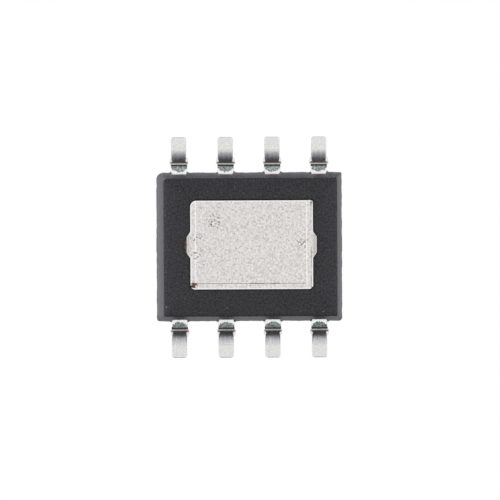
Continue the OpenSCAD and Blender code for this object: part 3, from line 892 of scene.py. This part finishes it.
# Stage: floor, world, lamps and camera. Lengths are in metres where the note doesn't say otherwise
stage = {
    "floorSize": 2.0,
    "floorGap": 0.002,         # below the feet, mm
    "window": (4.9, 6.03),     # part of the floor under the chip that reflections look through, mm
    "band": 0.1,               # brightness of the tent's dim band
    "capTilt": 33,             # of the bright patch below, from straight down towards -Y, degrees
    "capReach": (-0.85, 0.85), # cosines between which it fades out and is full
    "capCurve": 2.0,           # power that softens it
    "sky": (0.12, 0.6),        # brightness overhead, towards -Y and +Y
    "skyTurn": (-0.45, 0.3),   # between which directions in Y it turns from one to the other
    "skyEdge": (-0.06, 0.08),  # heights between which the sky starts
    "sideEdge": (0.2, 0.5),    # and the white to the left and right
    "zenithEdge": (0.94, 0.98),   # and the white right overhead
    "diffuse": 0.45,           # the tent's light on matt surfaces
    # direction of each lamp from the chip, and its watts
    "lamps": {"upper_lamp": ((-0.5, -0.6, 1.2), 1.3), "lower_lamp": ((-0.2, 0.1, -1), 1.3)},
    "lampDistance": 0.4,
    "lampSize": 0.3,
    "cameraDistance": 0.25,
    "sensorWidth": 36,         # mm
    "frameWidth": 13.63,       # width of the view at the parting line, mm
    "tilt": (-0.5, 1.4),       # of the camera towards -X and towards -Y, degrees
    "roll": -0.29,
    "aim": (0.02, 0.089),      # point at the parting line in the middle of the view, mm
}


# The floor is seen, and reflected, from above only, and not through the window under the chip
def makeFloor():
    half = stage["floorSize"] / 2
    mesh = bpy.data.meshes.new("floor")
    corners = [(x * half, y * half, -stage["floorGap"] * mm) for x, y in ((-1, -1), (1, -1), (1, 1), (-1, 1))]
    mesh.from_pydata(corners, [], [(0, 1, 2, 3)])
    floor = bpy.data.objects.new("floor", mesh)
    bpy.context.scene.collection.objects.link(floor)
    material, tree, place = newMaterial("pale matt board")
    path = addNode(tree, "LightPath")
    geometry = addNode(tree, "NewGeometry")
    away = addNode(tree, "VectorMath", {0: place}, operation="ABSOLUTE")
    windowX, windowY = stage["window"]
    past = addNode(tree, "VectorMath", {0: away, 1: (windowX / 2, windowY / 2, 1)}, operation="SUBTRACT")
    x, y = addNode(tree, "SeparateXYZ", {0: past}).outputs[:2]
    outside = addNode(tree, "Math", {0: x, 1: y}, operation="MAXIMUM")
    outside = addNode(tree, "Math", {0: outside, 1: 0.0}, operation="GREATER_THAN")
    seen = addNode(tree, "Math", {0: path.outputs["Is Glossy Ray"], 1: outside}, operation="MULTIPLY")
    seen = addNode(tree, "Math", {0: seen, 1: path.outputs["Is Camera Ray"]}, operation="MAXIMUM")
    front = addNode(tree, "Math", {0: 1.0, 1: geometry.outputs["Backfacing"]}, operation="SUBTRACT")
    seen = addNode(tree, "Math", {0: seen, 1: front}, operation="MULTIPLY")
    board = addNode(tree, "BsdfDiffuse", {"Color": "#f7f7f7"})
    clear = addNode(tree, "BsdfTransparent")
    shader = addNode(tree, "MixShader", {0: seen, 1: clear, 2: board})
    addNode(tree, "OutputMaterial", {"Surface": shader})
    mesh.materials.append(material)


# White for the camera. Reflections find white overhead and to the left and right, a sky that is
# darker towards -Y, and a bright patch below, with a dim band between, as in a light tent; matt
# surfaces get an even grey
def makeWorld():
    world = bpy.data.worlds.new("light tent")
    bpy.context.scene.world = world
    world.use_nodes = True
    tree = world.node_tree
    tree.nodes.clear()
    path = addNode(tree, "LightPath")
    direction = addNode(tree, "TexCoord").outputs["Generated"]
    x, y, z = addNode(tree, "SeparateXYZ", {0: direction}).outputs
    tilt = math.radians(stage["capTilt"])
    cap = addNode(tree, "VectorMath", {0: direction, 1: (0, -math.sin(tilt), -math.cos(tilt))},
                  operation="DOT_PRODUCT").outputs["Value"]
    sideways = addNode(tree, "Math", {0: x}, operation="ABSOLUTE")
    cap, turned, sky, sideways, zenith = (
        addNode(tree, "MapRange", {"Value": value, "From Min": stage[key][0], "From Max": stage[key][1]})
        for value, key in ((cap, "capReach"), (y, "skyTurn"), (z, "skyEdge"), (sideways, "sideEdge"),
                           (z, "zenithEdge")))
    cap = addNode(tree, "Math", {0: cap, 1: stage["capCurve"]}, operation="POWER")
    dark, light = stage["sky"]
    turned = addNode(tree, "MapRange", {"Value": turned, "To Min": dark, "To Max": light})
    sky = addNode(tree, "Math", {0: sky, 1: turned}, operation="MULTIPLY")
    bright = cap
    for patch in (sky, sideways, zenith):
        bright = addNode(tree, "Math", {0: bright, 1: patch}, operation="MAXIMUM")
    level = addNode(tree, "MapRange", {"Value": bright, "To Min": stage["band"]})
    kinds = ("Is Glossy Ray", "Is Transmission Ray", "Is Camera Ray")
    glossy, clear, straight = (path.outputs[kind] for kind in kinds)
    mirrored = addNode(tree, "Math", {0: glossy, 1: clear}, operation="MAXIMUM")
    light = addNode(tree, "Mix", {0: mirrored, 2: stage["diffuse"], 3: level})
    light = addNode(tree, "Mix", {0: straight, 2: light, 3: 1.0})
    background = addNode(tree, "Background", {"Color": (1, 1, 1, 1), "Strength": light})
    addNode(tree, "OutputWorld", {"Surface": background})


# A round lamp that shines on the chip from a direction, unseen in reflections and by the camera
def makeLamp(name, direction, watts):
    light = bpy.data.lights.new(name, "AREA")
    light.shape = "DISK"
    light.size = stage["lampSize"]
    light.energy = watts
    lamp = bpy.data.objects.new(name, light)
    bpy.context.scene.collection.objects.link(lamp)
    direction = Vector(direction).normalized()
    lamp.location = direction * stage["lampDistance"]
    lamp.rotation_euler = direction.to_track_quat("Z", "Y").to_euler()
    lamp.visible_glossy = False
    lamp.visible_camera = False


# The camera stands below the chip and looks up at its underside, with -Y up in its view
def makeCamera():
    data = bpy.data.cameras.new("camera")
    camera = bpy.data.objects.new("camera", data)
    bpy.context.scene.collection.objects.link(camera)
    forward = Vector([math.tan(math.radians(t)) for t in stage["tilt"]] + [1]).normalized()
    right = forward.cross(Vector((0, -1, 0))).normalized()
    upward = right.cross(forward)
    target = Vector((*stage["aim"], stripLow)) * mm
    turn = Matrix((right, upward, -forward)).transposed()
    turn = turn @ Matrix.Rotation(math.radians(stage["roll"]), 3, "Z")
    camera.matrix_world = Matrix.Translation(target - forward * stage["cameraDistance"]) @ turn.to_4x4()
    data.sensor_width = stage["sensorWidth"]
    data.lens = stage["sensorWidth"] * stage["cameraDistance"] / (stage["frameWidth"] * mm)
    data.clip_start, data.clip_end = 0.01, 5
    bpy.context.scene.camera = camera


makeFloor()
makeWorld()
for name, (direction, watts) in stage["lamps"].items():
    makeLamp(name, direction, watts)
makeCamera()
bpy.context.scene.view_settings.view_transform = "Standard"
print("stage ready")
